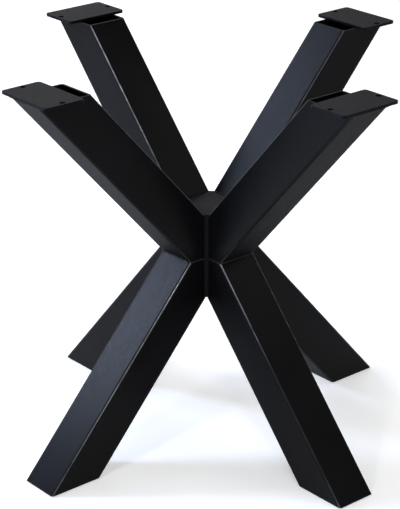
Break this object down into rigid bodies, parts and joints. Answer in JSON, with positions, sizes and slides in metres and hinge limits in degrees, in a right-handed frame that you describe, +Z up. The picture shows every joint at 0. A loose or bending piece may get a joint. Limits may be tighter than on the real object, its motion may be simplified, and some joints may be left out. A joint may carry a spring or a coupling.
{
  "type": "x-shaped table base",
  "caption": "Welded X-shaped table base of black square steel tube: sloping arms and legs round an upright hub, with drilled plates for a table top.",
  "frame": {"origin": "on the floor, under the hub's axis", "axes": "+Z up along the hub; the arms and legs stand on the diagonals of X and Y, and -Y is the front"},
  "size_m": [0.6442, 0.6442, 0.72],
  "materials": {
    "powder_coat": "satin black powder coat with a fine texture",
    "glide": "matt black"
  },
  "bodies": {
    "root": {"hub_tube": "powder_coat", "hub_top_disc": "powder_coat", "hub_bottom_disc": "powder_coat", "upper_arm_front_left": "powder_coat", "upper_arm_front_right": "powder_coat", "upper_arm_back_right": "powder_coat", "upper_arm_back_left": "powder_coat", "lower_leg_front_left": "powder_coat", "lower_leg_front_right": "powder_coat", "lower_leg_back_right": "powder_coat", "lower_leg_back_left": "powder_coat", "top_plate_front_left": "powder_coat", "top_plate_front_right": "powder_coat", "top_plate_back_right": "powder_coat", "top_plate_back_left": "powder_coat", "foot_plate_front_left": "powder_coat", "foot_plate_front_right": "powder_coat", "foot_plate_back_right": "powder_coat", "foot_plate_back_left": "powder_coat", "floor_glide_front_left": "glide", "floor_glide_front_right": "glide", "floor_glide_back_right": "glide", "floor_glide_back_left": "glide"}
  },
  "joints": []
}
